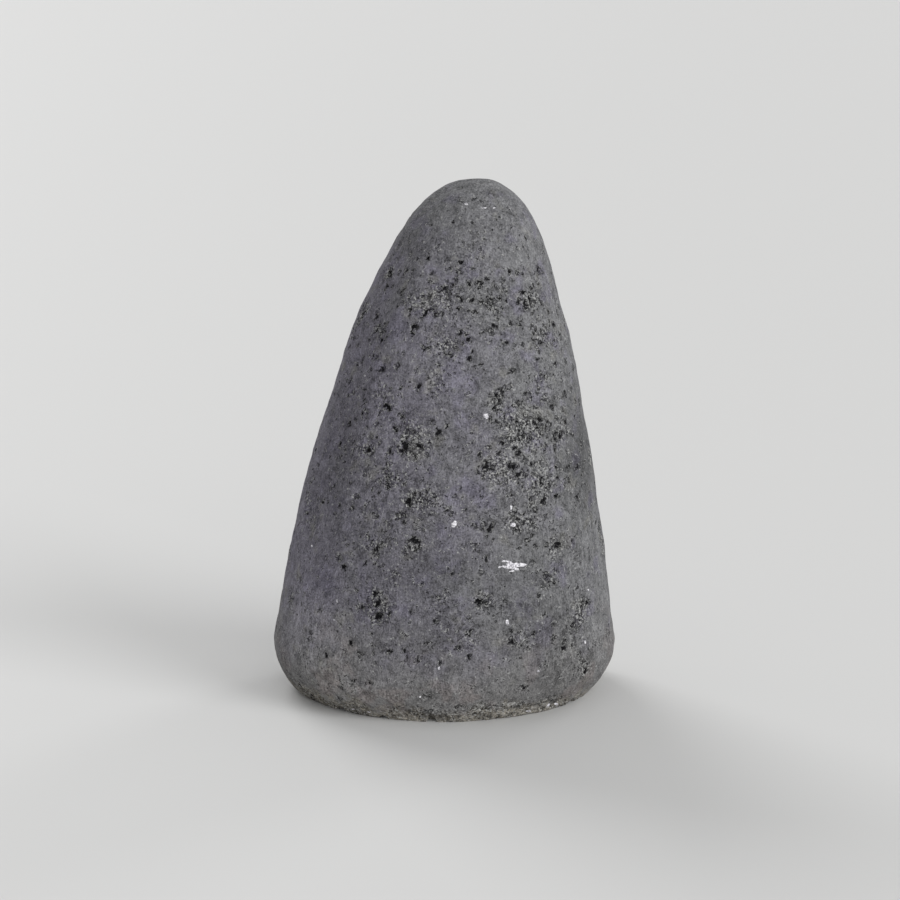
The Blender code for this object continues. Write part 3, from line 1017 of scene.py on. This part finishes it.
# Sizes of point: spacing, radius and height in millimetres, and the seed of each.
POINT_SIZES = [(7.4, 4.6, 7.6, 3), (4.4, 2.7, 4.9, 4), (2.9, 1.6, 2.9, 6)]
FACE_SLOPE = math.radians(51.8)
CUT_BACK = 0.08 * MM
# A point starts as a rod with its root in the bed, longer than the point by this share.
ROOT = 1.5 * MM
ROD_SHARE = 1.3
ROD_TAPER = 0.96
# How far out its broad and its small end faces stand, as shares of its radius.
BROAD_FACES = (0, 0.10)
SMALL_FACES = (0.05, 0.30)
POINT_GROWTH = (0.7, 1.25)
POINT_STRAY = 0.36
RIM_CLEARANCE = 0.3
SHADE_SWING = 0.9
SHADE_SIZE = 1.3 * MM
# Lumps of the bed, in millimetres high, and how the points' feet are spread over it.
BED_LUMP = 0.6
BED_LUMP_SIZE = 3 * MM
SPIRAL_STEPS = 4000
FOOT_JITTER = 0.35
ONWARD = 0.01


def druse_bed():
    """The bed that the points stand on, with its sawn and polished edge."""
    bm = turned(hollow_profile(SEAM, HOLLOW_RINGS), HOLLOW_SIDES, *hollow_form(SEAM))
    inner = turned(hollow_profile(BED, HOLLOW_RINGS), HOLLOW_SIDES, *hollow_form(BED))
    bm.verts.layers.float.new("across")
    across = inner.verts.layers.float.new("across")
    for vert in inner.verts:
        vert[across] = 1.0
        vert.co += vert.normal * BED_LUMP * MM * noise.noise(vert.co / BED_LUMP_SIZE)
    append(bm, inner, flip=True)
    close_rim(bm)
    finishes = [milky_quartz(), banded_agate()]
    made = piece(bm, "druse_bed", finishes, "amethyst_crystals")
    made.data.set_sharp_from_angle(angle=SHARP_TURN)


def feet(spacing, seed):
    """Feet of crystals spread evenly over the bed, with the direction into the hollow."""
    rng = random.Random(seed)
    profile = hollow_profile(BED, SPIRAL_STEPS)
    form = hollow_form(BED)
    area = 0
    angle = 0
    for (radius, height), (next_radius, next_height) in zip(profile, profile[1:]):
        area += 2 * math.pi * radius * math.hypot(next_radius - radius, next_height - height)
        if area < spacing ** 2:
            continue
        area -= spacing ** 2
        angle += GOLDEN_ANGLE
        jitter = rng.uniform(-FOOT_JITTER, FOOT_JITTER)
        turn = angle + jitter * spacing / max(radius, spacing)
        foot = placed(radius, height, turn, *form)
        upward = placed(next_radius, next_height, turn, *form) - foot
        onward = placed(radius, height, turn + ONWARD, *form) - foot
        yield foot, upward.cross(onward).normalized(), rng


def slice_off(bm, place, facing):
    """Takes off all that stands in front of a plane, and closes the cut."""
    cut = bmesh.ops.bisect_plane(
        bm, geom=bm.verts[:] + bm.edges[:] + bm.faces[:], dist=ON_AXIS,
        plane_co=place, plane_no=facing, clear_outer=True,
    )
    edges = [part for part in cut["geom_cut"] if isinstance(part, bmesh.types.BMEdge)]
    if edges:
        bmesh.ops.contextual_create(bm, geom=edges)


def crystal(foot, direction, radius, tall, rng):
    """One six-sided crystal, its end ground to six uneven faces, three broad and three small."""
    bm = bmesh.new()
    tip_layer = bm.verts.layers.float.new("tip")
    shade_layer = bm.verts.layers.float.new("shade")
    shade = 0.5 + SHADE_SWING * noise.noise(foot / SHADE_SIZE)
    bmesh.ops.create_cone(
        bm, cap_ends=True, segments=6, radius1=radius, radius2=ROD_TAPER * radius,
        depth=ROOT + ROD_SHARE * tall,
    )
    bmesh.ops.translate(bm, verts=bm.verts, vec=(0, 0, (ROD_SHARE * tall - ROOT) / 2))
    for side in range(6):
        turn = math.pi / 3 * (side + 0.5)
        facing = Vector((math.cos(turn), math.sin(turn), 0)) * math.sin(FACE_SLOPE)
        facing.z = math.cos(FACE_SLOPE)
        spare = rng.uniform(*(BROAD_FACES if side % 2 else SMALL_FACES))
        slice_off(bm, Vector((0, 0, tall)) + facing * spare * radius, facing)
    for vert in bm.verts:
        vert[tip_layer] = min(max(vert.co.z / tall, 0), 1)
        vert[shade_layer] = min(max(shade, 0), 1)
    aim = direction.to_track_quat("Z", "Y").to_matrix()
    aim = aim @ Matrix.Rotation(rng.uniform(0, math.pi / 3), 3, "Z")
    bmesh.ops.transform(bm, verts=bm.verts, matrix=Matrix.Translation(foot) @ aim.to_4x4())
    sawn = FRONT_POINT - FRONT_FACING * CUT_BACK
    if max((vert.co - sawn).dot(FRONT_FACING) for vert in bm.verts) > 0:
        slice_off(bm, sawn, FRONT_FACING)
    return bm


def amethyst_points():
    """The points of the druse, large ones with small ones between them."""
    bm = bmesh.new()
    bm.verts.layers.float.new("tip")
    bm.verts.layers.float.new("shade")
    for spacing, radius, height, seed in POINT_SIZES:
        for foot, inward, rng in feet(spacing * MM, seed):
            size = rng.uniform(*POINT_GROWTH)
            stray = Vector((rng.uniform(-1, 1), rng.uniform(-1, 1), rng.uniform(-1, 1)))
            direction = (inward + POINT_STRAY * stray).normalized()
            if behind_front(foot) > RIM_CLEARANCE * radius * MM:
                append(bm, crystal(foot, direction, radius * size * MM, height * size * MM, rng))
    piece(bm, "amethyst_points", [amethyst()], "amethyst_crystals", smooth=False)


# ---------------------------------------------------------------- the studio

STUDIO_GREY = 0.48
FLOOR_SIZE = 60
FLOOR_GREY = (0.58, 0.58, 0.575)
FLOOR_ROUGHNESS = 0.7
SEES_TO = 200
# Soft lights: direction they come from, strength and how wide they look, in degrees.
LIGHTS = {
    "key": ((-1.00, 0.75, 0.55), 2.15, 35),
    "low": ((-0.25, 1.00, 0.22), 0.80, 40),
    "front": ((0.55, -1.00, 0.75), 1.40, 30),
    "front_low": ((-0.70, -0.90, 0.35), 0.60, 20),
}


def pale_floor():
    finish = Finish("pale_floor")
    finish.set(Base_Color=FLOOR_GREY, Roughness=FLOOR_ROUGHNESS)
    return finish.material


def floor():
    bm = bmesh.new()
    bmesh.ops.create_grid(bm, x_segments=1, y_segments=1, size=FLOOR_SIZE)
    mesh = bpy.data.meshes.new("floor")
    bm.to_mesh(mesh)
    bm.free()
    made = bpy.data.objects.new("floor", mesh)
    mesh.materials.append(pale_floor())
    bpy.context.scene.collection.objects.link(made)


def studio():
    world = bpy.data.worlds.new("studio")
    world.use_nodes = True
    background = world.node_tree.nodes["Background"]
    background.inputs["Color"].default_value = (STUDIO_GREY, STUDIO_GREY, STUDIO_GREY, 1)
    bpy.context.scene.world = world
    for name, (direction, strength, width) in LIGHTS.items():
        light = bpy.data.lights.new(name, "SUN")
        light.energy = strength
        light.angle = math.radians(width)
        made = bpy.data.objects.new(name, light)
        made.rotation_euler = Vector(direction).to_track_quat("Z", "Y").to_euler()
        bpy.context.scene.collection.objects.link(made)


def camera():
    lens = bpy.data.cameras.new("camera")
    lens.lens = LENS
    lens.sensor_width = SENSOR
    lens.clip_end = SEES_TO
    made = bpy.data.objects.new("camera", lens)
    made.matrix_world = Matrix.Translation(CAMERA_AT) @ camera_turn().to_4x4()
    bpy.context.scene.collection.objects.link(made)
    bpy.context.scene.camera = made


camera()
studio()
floor()
quartz_flakes(stone_skin())
druse_bed()
amethyst_points()
bpy.context.scene.view_settings.view_transform = "Standard"
